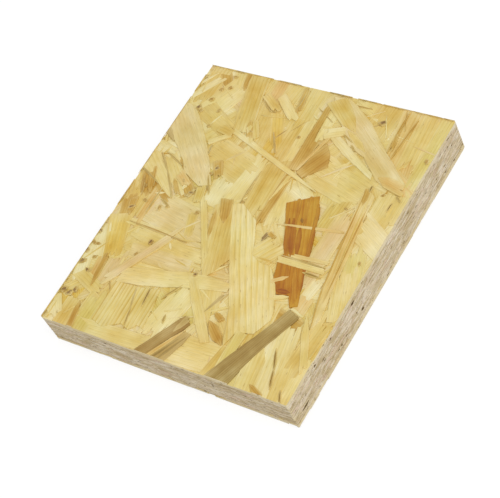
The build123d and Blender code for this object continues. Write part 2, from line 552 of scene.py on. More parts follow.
end_sizes = {"smallest": 0.7, "largest": 1.3}  # of an end, to its shape's own size
sawn_sides = {"front": (1, low, 0), "right": (0, high, quarter), "back": (1, high, math.pi),
              "left": (0, low, -quarter)}  # the axis across the side, its corner of the panel and its heading


def scatter_on_side(side, collection, per_metre, out_from, out_to, bottom, top, **inputs):
    """Scatters shapes along a sawn side, between two distances out from it and two heights."""
    axis, corner, heading = sawn_sides[side]
    outwards = 1 if corner is high else -1
    corner_low = Vector((low.x, low.y, bottom))
    corner_high = Vector((high.x, high.y, top))
    corner_low[axis] = corner[axis] + min(outwards * out_from, outwards * out_to)
    corner_high[axis] = corner[axis] + max(outwards * out_from, outwards * out_to)
    turns = {"turn_from": (quarter, -end_tilt, heading), "turn_to": (quarter, end_tilt, heading)}
    count = round(per_metre * (length if axis == 0 else width))
    return scatter(collection, count=count, low_corner=corner_low, high_corner=corner_high,
                   **{**end_sizes, **turns, **inputs})


for side, seed in (("front", 31), ("right", 37), ("back", 41), ("left", 43)):
    for mesh in scatter_on_side(side, lenses, lenses_per_metre, -saw_relief, -least_relief_share * saw_relief,
                                bottom_layer, thickness - top_layer, seed=seed):
        strands.append(finish_strand(mesh, strand_dice.choice(end_tones), faint_figure, "sawn"))

# Face strands. The top layer, laid one over another as it lies in view. A row gives the wood, the spacing of
# its rings in millimetres and how strongly they show, then where it lies. Places and widths are shares of the
# panel's width, measured from the front left corner of the top face.
# Lower strands: both ends of the middle line, the width at each, and how each end was made, if not split
lower_strand_shares = [
    ("yellow", 1.8, 0.5, (0.055, 1.14), (0.05, 0.95), (0.08, 0.07), ("cut", "split")),
    ("brown ochre", 1.5, 0.4, (0.06, 1.13), (0.11, 1.07), (0.045, 0.035), ("cut", "split")),
    ("pale", 1.6, 0.3, (0.0, 0.99), (0.085, 1.1), (0.03, 0.03), ("cut", "split")),
    ("straw", 1.5, 0.4, (0.14, 1.15), (0.17, 1.04), (0.07, 0.06), ("cut", "cut")),
    ("cream", 2.2, 0.15, (0.165, 1.07), (0.1, 0.92), (0.1, 0.11), ("split", "cut")),
    ("yellow", 2.0, 0.2, (0.08, 0.955), (0.25, 0.87), (0.08, 0.07), ("cut", "split")),
    ("honey", 1.4, 0.3, (0.315, 1.15), (0.325, 1.03), (0.06, 0.05), ("cut", "split")),
    ("straw", 1.6, 0.4, (0.385, 1.15), (0.37, 1.02), (0.08, 0.07), ("cut", "split")),
    ("yellow", 1.7, 0.4, (0.33, 1.02), (0.355, 0.84), (0.1, 0.08), ("cut", "split")),
    ("yellow", 1.8, 0.5, (0.47, 1.15), (0.475, 0.83), (0.085, 0.085), ("cut", "split")),
    ("gold", 1.5, 0.6, (0.37, 1.0), (0.45, 0.85), (0.05, 0.05), ("cut", "point")),
    ("cream", 1.5, 0.2, (0.508, 1.0), (0.512, 0.81), (0.035, 0.035), ("cut", "split")),
    ("cream", 1.5, 0.2, (0.57, 1.07), (0.575, 0.92), (0.045, 0.03), ("cut", "split")),
    ("cream", 1.5, 0.3, (0.63, 1.135), (0.76, 1.075), (0.06, 0.05), ("cut", "split")),
    ("yellow", 1.7, 0.4, (0.765, 1.15), (0.755, 0.99), (0.11, 0.1), ("cut", "split")),
    ("warm straw", 1.7, 0.8, (0.845, 1.15), (0.866, 0.9), (0.08, 0.07), ("cut", "split")),
    ("straw", 1.9, 0.5, (0.925, 1.15), (0.945, 0.89), (0.1, 0.1), ("cut", "split")),
    ("greenish", 1.6, 0.5, (0.98, 1.15), (0.985, 0.86), (0.06, 0.05), ("cut", "split")),
    ("honey", 1.4, 0.4, (0.88, 0.88), (1.01, 0.81), (0.06, 0.06), ("split", "cut")),
    ("straw", 1.9, 0.3, (0.64, 0.86), (0.85, 0.8), (0.11, 0.12), ("split", "cut")),
    ("straw", 2.2, 0.2, (0.655, 0.8), (0.84, 0.75), (0.1, 0.09), ("cut", "cut")),
    ("ochre", 1.4, 0.3, (0.69, 0.9), (0.77, 0.85), (0.045, 0.04), ("split", "point")),
    ("cream", 1.8, 0.2, (0.57, 0.76), (0.605, 0.57), (0.08, 0.07), ("cut", "split")),
    ("pale", 2.0, 0.2, (0.58, 0.74), (0.7, 0.69), (0.07, 0.05), ("cut", "point")),
    ("yellow", 1.6, 0.2, (0.205, 0.8), (0.43, 0.73), (0.12, 0.13), ("cut", "split")),
    ("cream", 1.6, 0.25, (0.432, 0.845), (0.4, 0.6), (0.075, 0.07)),
    ("pale", 2.0, 0.1, (0.335, 0.69), (0.335, 0.58), (0.08, 0.07), ("split", "cut")),
    ("pale", 1.8, 0.2, (-0.01, 0.76), (0.14, 0.725), (0.05, 0.04), ("cut", "split")),
    ("straw", 1.6, 0.4, (0.07, 0.725), (0.21, 0.6), (0.06, 0.05), ("cut", "split")),
    ("tan", 2.2, 0.2, (0.14, 0.52), (0.42, 0.47), (0.13, 0.14)),
    ("straw", 2.2, 0.2, (0.12, 0.39), (0.45, 0.37), (0.12, 0.12)),
    ("tan", 1.9, 0.3, (0.16, 0.335), (0.44, 0.335), (0.06, 0.06), ("cut", "split")),
    ("yellow", 1.6, 0.6, (0.06, 0.58), (0.065, 0.435), (0.09, 0.09)),
    ("brown ochre", 1.5, 0.5, (0.055, 0.655), (0.085, 0.555), (0.09, 0.06)),
    ("brown ochre", 1.2, 0.4, (0.03, 0.53), (0.06, 0.43), (0.05, 0.045)),
    ("honey", 1.4, 0.7, (0.115, 0.61), (0.115, 0.44), (0.035, 0.03)),
    ("pale", 1.5, 0.3, (-0.01, 0.4), (0.05, 0.265), (0.06, 0.06), ("cut", "split")),
    ("pale", 1.5, 0.3, (0.0, 0.29), (0.045, 0.17), (0.06, 0.05)),
    ("gold", 1.7, 0.3, (0.04, 0.455), (0.11, 0.285), (0.09, 0.06), ("cut", "split")),
    ("pink tan", 1.5, 0.3, (0.135, 0.31), (0.135, 0.15), (0.06, 0.05)),
    ("honey", 1.2, 0.5, (0.075, 0.29), (0.09, 0.16), (0.03, 0.03)),
    ("straw", 1.6, 0.3, (0.03, 0.2), (0.16, 0.15), (0.05, 0.05), ("cut", "split")),
    ("yellow", 1.6, 0.4, (0.08, 0.1), (0.08, -0.02), (0.06, 0.06), ("split", "cut")),
    ("pale", 1.6, 0.3, (-0.01, 0.09), (0.05, 0.02), (0.06, 0.05), ("cut", "split")),
    ("greenish", 1.6, 0.4, (0.16, 0.15), (0.155, -0.02), (0.08, 0.08), ("split", "cut")),
    ("straw", 1.6, 0.3, (0.12, 0.02), (0.45, 0.035), (0.05, 0.06), ("cut", "split")),
    ("cream", 1.8, 0.2, (0.46, 0.27), (0.425, 0.08), (0.1, 0.1)),
    ("straw", 1.7, 0.3, (0.52, 0.3), (0.58, 0.17), (0.09, 0.08)),
    ("cream", 1.4, 0.4, (0.53, 0.055), (0.73, 0.065), (0.11, 0.11), ("cut", "cut")),
    ("pale olive", 1.4, 0.4, (0.592, 0.292), (0.555, 0.2), (0.014, 0.012), ("split", "point")),
    ("cream", 2.4, 0.7, (0.595, 0.415), (0.665, 0.515), (0.1, 0.09)),
    ("ochre", 1.5, 0.6, (0.785, 0.72), (0.775, 0.6), (0.07, 0.06)),
    ("pink tan", 1.8, 0.2, (0.83, 0.69), (0.82, 0.37), (0.07, 0.07)),
    ("honey", 1.4, 0.3, (0.866, 0.38), (0.86, 0.29), (0.05, 0.05)),
    ("pale", 1.8, 0.2, (0.868, 0.425), (0.858, 0.36), (0.04, 0.036)),
    ("straw", 1.7, 0.3, (0.95, 0.8), (0.95, 0.66), (0.11, 0.1), ("cut", "split")),
    ("pale", 1.9, 0.2, (0.89, 0.665), (1.01, 0.6), (0.1, 0.09), ("split", "cut")),
    ("greenish", 1.6, 0.4, (0.93, 0.58), (0.985, 0.42), (0.07, 0.07)),
    ("straw", 1.7, 0.5, (0.935, 0.5), (1.01, 0.31), (0.08, 0.08), ("split", "cut")),
    ("pale", 1.7, 0.5, (0.855, 0.27), (0.91, -0.02), (0.1, 0.1), ("split", "cut")),
    ("straw", 1.7, 0.5, (0.81, 0.17), (0.84, -0.02), (0.07, 0.07), ("point", "cut")),
    ("straw", 1.6, 0.5, (0.93, 0.16), (0.96, -0.02), (0.07, 0.06), ("split", "cut")),
    ("cream", 1.6, 0.4, (0.985, 0.16), (0.99, -0.02), (0.06, 0.05), ("split", "cut")),
    ("yellow", 1.6, 0.4, (0.97, 0.32), (0.95, 0.115), (0.06, 0.06)),
    ("ochre", 1.6, 0.5, (0.49, 0.81), (0.5, 0.585), (0.095, 0.08), ("cut", "split")),
    ("brown ochre", 1.3, 0.6, (0.552, 0.765), (0.548, 0.55), (0.03, 0.032), ("cut", "split")),
    ("brown ochre", 1.2, 0.5, (0.175, 1.14), (0.186, 1.06), (0.035, 0.02), ("cut", "point")),
    ("brown ochre", 1.4, 0.3, (0.1, 0.615), (0.18, 0.555), (0.045, 0.035)),
    ("ochre", 1.2, 0.3, (0.3, 0.535), (0.335, 0.44), (0.035, 0.03)),
    ("ochre", 1.4, 0.4, (0.705, 0.12), (0.685, -0.02), (0.03, 0.045), ("split", "cut")),
]

# Main strands: the heading of the grain in degrees, and the outline
main_strand_shares = [
    ("straw", 1.9, 1.3, -88, (
        (0.188, 0.21), (0.27, 0.212), (0.36, 0.228), (0.372, 0.17), (0.388, 0.078), (0.36, 0.085),
        (0.338, 0.06), (0.3, 0.072), (0.238, 0.04), (0.185, 0.055),
    )),
    ("ochre", 1.9, 0.6, -75, (
        (0.182, 1.14), (0.255, 1.14), (0.28, 1.034), (0.308, 0.934), (0.319, 0.895), (0.285, 0.89),
        (0.246, 0.895), (0.222, 0.957), (0.198, 1.05), (0.186, 1.1),
    )),
    ("brown ochre", 1.2, 0.6, -88, (
        (0.531, 1.065), (0.545, 1.1), (0.55, 1.088), (0.555, 0.965), (0.562, 0.926), (0.585, 0.918),
        (0.577, 0.84), (0.565, 0.795), (0.531, 0.795),
    )),
    ("brown ochre", 1.3, 0.5, 62, (
        (0.612, 0.93), (0.65, 0.885), (0.665, 0.84), (0.6, 0.775), (0.572, 0.79), (0.59, 0.87),
    )),
    ("pale", 1.6, 0.3, -29, (
        (0.627, 0.976), (0.669, 0.953), (0.77, 0.895), (0.83, 0.857), (0.838, 0.834), (0.77, 0.865),
        (0.692, 0.903), (0.615, 0.95),
    )),
    ("tan", 1.3, 0.3, -35, (
        (0.538, 1.118), (0.6, 1.122), (0.638, 1.103), (0.731, 1.042), (0.8, 0.98), (0.854, 0.934),
        (0.923, 0.88), (0.958, 0.849), (0.95, 0.811), (0.908, 0.818), (0.854, 0.838), (0.815, 0.872),
        (0.769, 0.911), (0.692, 0.942), (0.646, 0.988), (0.608, 1.034), (0.565, 1.072),
    )),
    ("straw", 1.7, 0.5, -38, (
        (-0.01, 0.66), (-0.01, 0.735), (0.035, 0.725), (0.1, 0.665), (0.185, 0.565), (0.17, 0.57),
        (0.105, 0.605),
    )),
    ("tan", 2.1, 0.25, -44, (
        (-0.01, 0.845), (-0.01, 0.955), (0.046, 0.945), (0.115, 0.88), (0.185, 0.803), (0.23, 0.75),
        (0.265, 0.7), (0.3, 0.655), (0.254, 0.64), (0.21, 0.66), (0.165, 0.68), (0.138, 0.718),
        (0.085, 0.765), (0.054, 0.788),
    )),
    ("yellow", 1.7, 0.6, -70, (
        (0.36, 0.585), (0.4, 0.615), (0.43, 0.603), (0.47, 0.526), (0.53, 0.41), (0.5, 0.345),
        (0.477, 0.318), (0.442, 0.365), (0.42, 0.44), (0.385, 0.526),
    )),
    ("cream", 1.9, 0.15, 9, (
        (0.192, 0.265), (0.308, 0.293), (0.415, 0.318), (0.5, 0.328), (0.59, 0.326), (0.592, 0.295),
        (0.43, 0.262), (0.36, 0.24), (0.27, 0.22), (0.185, 0.208),
    )),
    ("warm straw", 2.2, 0.45, -81, (
        (0.842, 0.776), (0.862, 0.79), (0.885, 0.776), (0.896, 0.672), (0.915, 0.557), (0.931, 0.403),
        (0.95, 0.303), (0.935, 0.257), (0.896, 0.403), (0.877, 0.534), (0.854, 0.672),
    )),
    ("amber", 2.0, 0.5, -66, (
        (0.604, 0.668), (0.638, 0.603), (0.67, 0.543), (0.688, 0.53), (0.702, 0.489), (0.7, 0.449),
        (0.715, 0.395), (0.758, 0.341), (0.8, 0.349), (0.827, 0.311), (0.85, 0.322), (0.785, 0.51),
        (0.742, 0.626), (0.702, 0.724), (0.66, 0.702),
    )),
    ("cream", 2.5, 1.2, -59, (
        (0.423, 0.611), (0.455, 0.62), (0.538, 0.572), (0.57, 0.51), (0.602, 0.447), (0.64, 0.43),
        (0.685, 0.426), (0.738, 0.372), (0.785, 0.28), (0.792, 0.249), (0.762, 0.188), (0.704, 0.172),
        (0.688, 0.115), (0.638, 0.234), (0.592, 0.311), (0.512, 0.442), (0.46, 0.534),
    )),
    ("straw", 1.4, 0.3, -48, (
        (0.427, 0.312), (0.46, 0.312), (0.538, 0.226), (0.6, 0.157), (0.638, 0.11), (0.608, 0.099),
        (0.57, 0.14), (0.49, 0.226),
    )),
    ("brown olive", 1.0, 0.35, 58, (
        (0.506, 0.17), (0.536, 0.148), (0.524, 0.118), (0.484, 0.058), (0.452, -0.01), (0.398, -0.01),
        (0.452, 0.082), (0.486, 0.142),
    )),
    ("pale olive", 1.0, 0.3, 60, (
        (0.56, 0.116), (0.556, 0.076), (0.535, 0.026), (0.522, -0.01), (0.454, -0.01), (0.486, 0.046),
        (0.538, 0.116),
    )),
    ("greenish", 1.4, 0.4, -86, (
        (0.705, 0.18), (0.745, 0.178), (0.738, 0.09), (0.72, 0.02), (0.705, 0.04),
    )),
    ("olive", 0.9, 0.6, 68, (
        (0.832, 0.303), (0.877, 0.289), (0.86, 0.245), (0.83, 0.172), (0.798, 0.085), (0.774, -0.01),
        (0.682, -0.01), (0.733, 0.098), (0.786, 0.2),
    )),
]

# Upper slivers and splinters, set out as the lower strands are
upper_strand_shares = [
    ("cream", 1.2, 0.2, (0.345, 1.07), (0.44, 0.992), (0.035, 0.035), ("cut", "split")),
    ("yellow", 1.2, 0.3, (0.285, 1.06), (0.36, 1.01), (0.03, 0.03), ("cut", "split")),
    ("ochre", 1.4, 0.4, (0.3, 0.935), (0.35, 0.865), (0.045, 0.04)),
    ("brown ochre", 1.2, 0.5, (0.288, 0.945), (0.325, 0.875), (0.03, 0.025), ("point", "split")),
    ("brown ochre", 1.0, 0.4, (0.424, 1.12), (0.44, 1.02), (0.022, 0.02)),
    ("yellow", 1.2, 0.3, (0.195, 0.885), (0.265, 0.87), (0.035, 0.03)),
    ("cream", 1.2, 0.2, (0.185, 0.815), (0.245, 0.862), (0.02, 0.018), ("cut", "split")),
    ("cream", 1.5, 0.3, (0.25, 0.888), (0.68, 0.737), (0.02, 0.016), ("cut", "point")),
    ("honey", 1.0, 0.4, (0.606, 0.945), (0.565, 0.8), (0.01, 0.008), ("split", "cut")),
    ("straw", 1.0, 0.4, (0.556, 0.77), (0.538, 0.66), (0.012, 0.008), ("cut", "point")),
    ("brown ochre", 1.2, 0.8, (0.39, 0.62), (0.43, 0.53), (0.045, 0.03), ("cut", "point")),
    ("brown ochre", 1.0, 0.5, (0.375, 0.57), (0.41, 0.46), (0.02, 0.02), pointed),
    ("straw", 1.2, 0.3, (0.29, 0.62), (0.455, 0.37), (0.022, 0.022)),
    ("pink tan", 1.2, 0.3, (0.3, 0.46), (0.13, 0.18), (0.03, 0.03)),
    ("brown ochre", 1.0, 0.5, (0.09, 0.295), (0.105, 0.165), (0.018, 0.016), ("split", "point")),
    ("brown ochre", 1.0, 0.5, (0.105, 0.1), (0.128, -0.01), (0.02, 0.022), ("point", "cut")),
    ("brown ochre", 1.0, 0.6, (0.595, 0.18), (0.682, 0.115), (0.035, 0.035), pointed),
    ("brown ochre", 1.0, 0.6, (0.598, 0.213), (0.635, 0.195), (0.022, 0.02), ("point", "split")),
    ("gold amber", 1.2, 0.3, (0.645, 0.69), (0.68, 0.6), (0.016, 0.014), ("split", "point")),
    ("gold amber", 1.2, 0.3, (0.675, 0.705), (0.71, 0.6), (0.014, 0.012), ("split", "point")),
    ("deep amber", 1.2, 0.3, (0.648, 0.615), (0.713, 0.475), (0.02, 0.02), pointed),
    ("deep amber", 1.2, 0.3, (0.662, 0.62), (0.73, 0.48), (0.026, 0.022), pointed),
    ("deep amber", 1.2, 0.3, (0.7, 0.6), (0.75, 0.485), (0.018, 0.016), pointed),
    ("gold amber", 1.2, 0.3, (0.735, 0.455), (0.795, 0.352), (0.014, 0.012), pointed),
    ("gold amber", 1.2, 0.3, (0.765, 0.455), (0.838, 0.325), (0.02, 0.016), ("point", "split")),
    ("gold amber", 1.2, 0.3, (0.79, 0.455), (0.825, 0.38), (0.012, 0.01), pointed),
    ("dark amber", 1.2, 0.3, (0.688, 0.628), (0.7, 0.612), (0.01, 0.01), pointed),
    ("honey", 1.0, 0.3, (0.615, 0.583), (0.83, 0.617), (0.01, 0.009), ("point", "split")),
    ("warm straw", 1.0, 0.3, (0.725, 0.488), (0.865, 0.498), (0.013, 0.012), ("split", "cut")),
    ("cream", 1.0, 0.3, (0.693, 0.462), (0.868, 0.464), (0.022, 0.02), ("cut", "cut")),
    ("honey", 1.0, 0.3, (0.715, 0.378), (0.765, 0.412), (0.014, 0.012), ("split", "point")),
    ("cream", 1.0, 0.3, (0.745, 0.322), (0.805, 0.345), (0.018, 0.015), ("split", "point")),
    ("pale", 1.0, 0.2, (0.838, 0.309), (0.888, 0.294), (0.008, 0.008), ("cut", "cut")),
    ("pale olive", 1.0, 0.2, (0.522, 0.166), (0.498, 0.105), (0.024, 0.016), ("split", "point")),
    ("honey", 1.0, 0.2, (0.535, 0.122), (0.456, -0.01), (0.012, 0.012), ("point", "cut")),
    ("olive", 1.0, 0.2, (0.552, 0.098), (0.498, -0.005), (0.008, 0.008), pointed),
    ("olive", 1.0, 0.2, (0.53, 0.085), (0.478, -0.005), (0.006, 0.007), ("point", "cut")),
    ("straw", 1.0, 0.4, (0.9, 0.3), (0.985, 0.13), (0.026, 0.024), ("point", "split")),
    ("brown ochre", 1.0, 0.9, (0.85, 0.024), (0.905, -0.004), (0.018, 0.02), ("point", "cut")),
    ("pale olive", 1.0, 0.5, (-0.01, 0.835), (0.052, 0.785), (0.022, 0.014), ("cut", "point")),
    ("brown ochre", 1.0, 0.9, (0.048, 0.655), (0.092, 0.562), (0.026, 0.02), ("split", "point")),
    ("stain", 1.0, 0.4, (0.03, 0.625), (0.068, 0.545), (0.007, 0.008), pointed),
    ("knot", 1.0, 0.6, (0.599, 0.513), (0.607, 0.541), (0.01, 0.012), ("split", "cut")),
    ("brown ochre", 1.0, 0.6, (0.609, 0.544), (0.634, 0.533), (0.015, 0.013), ("cut", "split")),
    ("ochre", 1.0, 0.6, (0.268, 0.645), (0.288, 0.575), (0.035, 0.03)),
    ("honey", 1.0, 0.5, (0.155, 0.668), (0.208, 0.632), (0.035, 0.03)),
    ("brown ochre", 1.0, 0.5, (0.15, 0.64), (0.195, 0.59), (0.018, 0.014), ("point", "split")),
    ("brown ochre", 1.0, 0.4, (0.265, 0.755), (0.304, 0.695), (0.036, 0.03)),
    ("brown ochre", 1.0, 0.5, (0.05, 0.525), (0.07, 0.46), (0.026, 0.022), ("split", "point")),
    ("honey", 1.0, 0.4, (0.86, 0.85), (0.975, 0.822), (0.042, 0.042), ("point", "split")),
    ("brown ochre", 1.0, 0.5, (0.85, 0.8), (0.862, 0.735), (0.022, 0.016), ("split", "point")),
    ("yellow", 1.0, 0.3, (0.66, 0.997), (0.76, 0.933), (0.026, 0.022), pointed),
    ("brown ochre", 1.0, 0.5, (0.833, 1.125), (0.838, 0.95), (0.008, 0.007), pointed),
    ("brown ochre", 1.0, 0.5, (0.877, 1.1), (0.862, 0.925), (0.008, 0.007), pointed),
    ("brown ochre", 1.0, 0.5, (0.835, 1.03), (0.85, 0.96), (0.012, 0.012), pointed),
    ("brown ochre", 1.0, 0.3, (0.846, 0.78), (0.897, 0.4), (0.006, 0.005), pointed),
    ("brown ochre", 1.0, 0.3, (0.89, 0.43), (0.935, 0.26), (0.005, 0.005), pointed),
    ("ochre", 1.0, 0.3, (0.868, 0.77), (0.908, 0.47), (0.005, 0.004), pointed),
    ("brown ochre", 1.0, 0.3, (0.884, 0.74), (0.925, 0.36), (0.005, 0.004), pointed),
    ("stain", 1.0, 0.3, (0.09, 0.437), (0.345, 0.421), (0.007, 0.006), pointed),
    ("gold amber", 1.0, 0.5, (0.717, 0.7), (0.784, 0.505), (0.011, 0.011)),
    ("deep amber", 1.2, 0.4, (0.75, 0.354), (0.8, 0.36), (0.022, 0.014), pointed),
    ("ochre", 1.3, 0.4, (0.555, 1.105), (0.685, 1.0), (0.07, 0.045), ("cut", "point")),
    ("cream", 1.2, 0.3, (0.588, 0.962), (0.65, 0.992), (0.042, 0.036)),
]

# Splits and knots in the top strands: both ends and the width of each split, the place and radius of each
# knot. The split lines are drawn darker, partly for cracks in the wood and partly as painted shade along
# strand edges and the gaps between them. The wider splits are open, and the larger knots have a dark heart.
split_shares = [
    ((0.865, 0.165), (0.9, 0.09), 0.008), ((0.895, 0.1), (0.92, 0.03), 0.008),
    ((0.955, 0.04), (0.978, -0.005), 0.007), ((0.275, 0.21), (0.3, 0.13), 0.006),
    ((0.3, 0.14), (0.32, 0.06), 0.005), ((0.325, 0.23), (0.335, 0.15), 0.007),
    ((0.038, 0.73), (0.105, 0.662), 0.006), ((0.098, 0.67), (0.185, 0.568), 0.006),
    ((-0.005, 0.655), (0.105, 0.605), 0.006), ((0.055, 0.737), (0.145, 0.7), 0.006),
    ((0.65, 0.98), (0.7, 0.955), 0.006), ((0.7, 0.945), (0.725, 0.925), 0.006),
    ((0.285, 1.042), (0.337, 1.0), 0.006), ((0.333, 1.002), (0.36, 1.0), 0.005),
    ((0.43, 1.1), (0.43, 1.03), 0.006), ((0.4, 0.92), (0.455, 0.84), 0.004),
    ((0.446, 0.76), (0.442, 0.62), 0.004), ((0.128, 0.6), (0.127, 0.49), 0.004),
    ((0.435, 0.152), (0.443, 0.12), 0.006), ((0.385, 0.2), (0.43, 0.27), 0.006),
    ((0.7, 0.478), (0.865, 0.479), 0.004), ((0.8, 0.441), (0.87, 0.44), 0.008),
    ((0.955, 0.8), (0.98, 0.78), 0.006), ((0.955, 0.77), (0.953, 0.735), 0.007),
    ((0.857, 0.815), (0.86, 0.785), 0.008), ((0.205, 0.81), (0.215, 0.77), 0.005),
    ((0.265, 0.69), (0.31, 0.62), 0.005), ((0.15, 0.553), (0.2, 0.53), 0.005),
]
knot_shares = [
    (0.76, 1.06, 0.01), (0.06, 0.945, 0.009), (0.076, 0.935, 0.006), (0.125, 1.105, 0.006),
    (0.13, 1.055, 0.006), (0.1, 1.04, 0.006), (0.09, 0.99, 0.006), (0.145, 0.95, 0.005),
    (0.145, 0.88, 0.004), (0.315, 0.9, 0.005), (0.28, 0.725, 0.009), (0.27, 0.7, 0.006),
    (0.245, 0.605, 0.009), (0.25, 0.627, 0.006), (0.233, 0.592, 0.005), (0.19, 0.642, 0.006),
    (0.165, 0.515, 0.006), (0.19, 0.53, 0.005), (0.315, 0.54, 0.006), (0.217, 0.385, 0.008),
    (0.195, 0.327, 0.006), (0.45, 0.32, 0.007), (0.45, 0.625, 0.004), (0.965, 0.53, 0.005),
    (0.985, 0.955, 0.006), (0.5, 0.925, 0.004), (0.91, 0.79, 0.004), (0.815, 0.705, 0.004),
    (0.06, 0.49, 0.009), (0.095, 0.53, 0.006), (0.06, 0.585, 0.006), (0.005, 0.37, 0.008),
    (0.015, 0.32, 0.006), (0.005, 0.285, 0.007), (0.015, 0.24, 0.01), (0.03, 0.32, 0.005),
    (0.055, 0.215, 0.007), (0.05, 0.27, 0.005), (0.045, 0.115, 0.009), (0.02, 0.12, 0.009),
    (0.06, 0.13, 0.007),
]
open_share = 0.0065  # smallest width or radius of such a split or knot
split_start_share = 1.3  # width of a split at its start, to that at its end
stain_ring_share = 1.25  # radius of the stain round a knot, to the knot's own
heart_share = 0.75  # radius of its heart

# Depths below the panel's highest point, from the first strand laid in each layer towards the last
lower_depths = (0.72 * mm, 0.40 * mm)
main_depths = (0.30 * mm, 0.14 * mm)
upper_depths = (0.12 * mm, 0.08 * mm)
split_depths = (0.075 * mm, 0.07 * mm)
stain_depths = (0.065 * mm, 0.06 * mm)
knot_depths = (0.055 * mm, 0.05 * mm)

# Woods with much resin of their own lose less of their colour at a strand's edges than others do
edge_wash_shares = {
    "amber": 0.0,
    "deep amber": 0.0,
    "gold amber": 0.0,
    "dark amber": 0.3,
    "olive": 0.3,
    "brown olive": 0.3,
    "pale olive": 0.6,
    "brown ochre": 0.8,
    "knot": 0.8,
}
face_dice = random.Random(17)
front_left = Vector((low.x, low.y))
laid_tilt = 0.0006  # in radians


def lay_strand(depth, corners, wood, ring_spacing, figure, middle, heading):
    """Lays one strand at a depth below the top face. Its corners are given along its own grain."""
    start = grain_start(face_dice)
    mesh = strand_mesh(corners, ring_spacing * mm, start, wash=edge_wash_shares.get(wood, 1.0))
    tilt = Matrix.Rotation(face_dice.uniform(-laid_tilt, laid_tilt), 4, "X")
    tilt = tilt @ Matrix.Rotation(face_dice.uniform(-laid_tilt, laid_tilt), 4, "Y")
    place = Matrix.Translation((middle.x, middle.y, thickness - depth)) @ Matrix.Rotation(heading, 4, "Z")
    mesh.transform(place @ tilt)
    strands.append(finish_strand(mesh, woods[wood], figure, "pressed"))


def line_on_face(start, end):
    """Length, middle and heading of a line on the top face between two places."""
    start = front_left + width * Vector(start)
    end = front_left + width * Vector(end)
    along = end - start
    return along.length, (start + end) / 2, math.atan2(along.y, along.x)


def lay_line_strand(depth, wood, ring_spacing, figure, start, end, width_shares, ends=("split", "split")):
    """Lays a strand given by the two ends of its middle line."""
    long, middle, heading = line_on_face(start, end)
    corners = strand_outline(long, [width * w for w in width_shares], ends, face_dice)
    lay_strand(depth, corners, wood, ring_spacing, figure, middle, heading)


def lay_shaped_strand(depth, wood, ring_spacing, figure, heading, outline):
    """Lays a strand given by its outline, with its edges broken a little as a knife leaves them."""
    heading = math.radians(heading)
    outline = [front_left + width * Vector(p) for p in outline]
    middle = sum(outline, Vector((0, 0))) / len(outline)
    turned = [Matrix.Rotation(-heading, 2) @ (p - middle) for p in outline]
    area = sum(p.cross(q) for p, q in zip(turned, turned[1:] + turned[:1]))
    if area < 0:
        turned.reverse()
    corners = []
    for p, q in zip(turned, turned[1:] + turned[:1]):
        steps = max(1, round(2 * (q - p).length / side_step))
        for k in range(steps):
            wander = Vector((face_dice.uniform(-wobble, wobble), face_dice.uniform(-wobble, wobble)))
            corners.append(tuple(p.lerp(q, k / steps) + wander))
    lay_strand(depth, corners, wood, ring_spacing, figure, middle, heading)


def lay_rows(lay, rows, depths):
    """Lays strands one over another, from the first depth towards the second."""
    for k, row in enumerate(rows):
        lay(depths[0] + (depths[1] - depths[0]) * k / len(rows), *row)


def knot_outline(x, y, share):
    """Ragged oval outline about a place."""
    corner_count = 8
    stretch_shares = (0.7, 1.7)  # how far the oval is drawn out one way and in the other
    reach_shares = (0.5, 1.4)  # how far out a corner lies, to the radius
    stretch = face_dice.uniform(*stretch_shares)
    turn = Matrix.Rotation(face_dice.uniform(0, math.pi), 2)
    corners = []
    for k in range(corner_count):
        reach = share * face_dice.uniform(*reach_shares)
        angle = math.tau * k / corner_count
        corners.append(Vector((x, y)) + turn @ Vector((stretch * reach * math.cos(angle),
                                                       reach / stretch * math.sin(angle))))
    return corners


lay_rows(lay_line_strand, lower_strand_shares, lower_depths)
lay_rows(lay_shaped_strand, main_strand_shares, main_depths)
lay_rows(lay_line_strand, upper_strand_shares, upper_depths)
# Dark lines along the splits, partly cracks and partly painted shade along strand edges and gaps
split_lines_and_painted_shade = [("split", 1.0, 0.2, start, end, (split_start_share * share, share), pointed)
              for start, end, share in split_shares]
lay_rows(lay_line_strand, split_lines_and_painted_shade, split_depths)
stain_rows = []
knot_rows = []
for x, y, share in knot_shares:
    heading = face_dice.uniform(0, 180)
    stain_rows.append(("stain", 1.0, 0.2, heading, knot_outline(x, y, stain_ring_share * share)))
    if share > open_share:
        knot_rows.append(("knot", 1.0, 0.2, heading, knot_outline(x, y, heart_share * share)))
lay_rows(lay_shaped_strand, stain_rows, stain_depths)
lay_rows(lay_shaped_strand, knot_rows, knot_depths)

# Loose fibres along the two far edges, fuzz from the saw, in dark tones that paint the shade along these
# arrises
fibres_per_metre = 670
fibre_turn = 0.06  # in radians, from the edge
fibre_zone = 0.5 * mm  # in from the edge
fibre_woods_for_far_shade = ("olive", "pale olive", "stain", "brown olive", "ochre")
for side, seed in (("back", 81), ("left", 83)):
    heading = sawn_sides[side][2]
    loose = scatter_on_side(side, beds["sliver"], fibres_per_metre, -fibre_zone, 0,
                            thickness - upper_depths[0], thickness - upper_depths[1],
                            turn_from=(0, 0, heading - fibre_turn), turn_to=(0, 0, heading + fibre_turn),
                            smallest=0.25, largest=0.6, seed=seed)
    for mesh in loose:
        colour = woods[face_dice.choice(fibre_woods_for_far_shade)]
        strands.append(finish_strand(mesh, colour, faint_figure, "pressed"))

# The panel. The press makes the strands one board, and the saw cuts it square. Handling chips its arrises,
# and voids stay open between the core strands on the right-hand side.
core_short = 0.2 * mm  # how far the core stays behind the strand ends
core_deep = 1.5 * mm  # and below the face strands
core_tone = "#C3B089"
arris = 0.35 * mm
arris_tone = "#DACAA4"  # of the saw cut itself, which shows on the broken edges


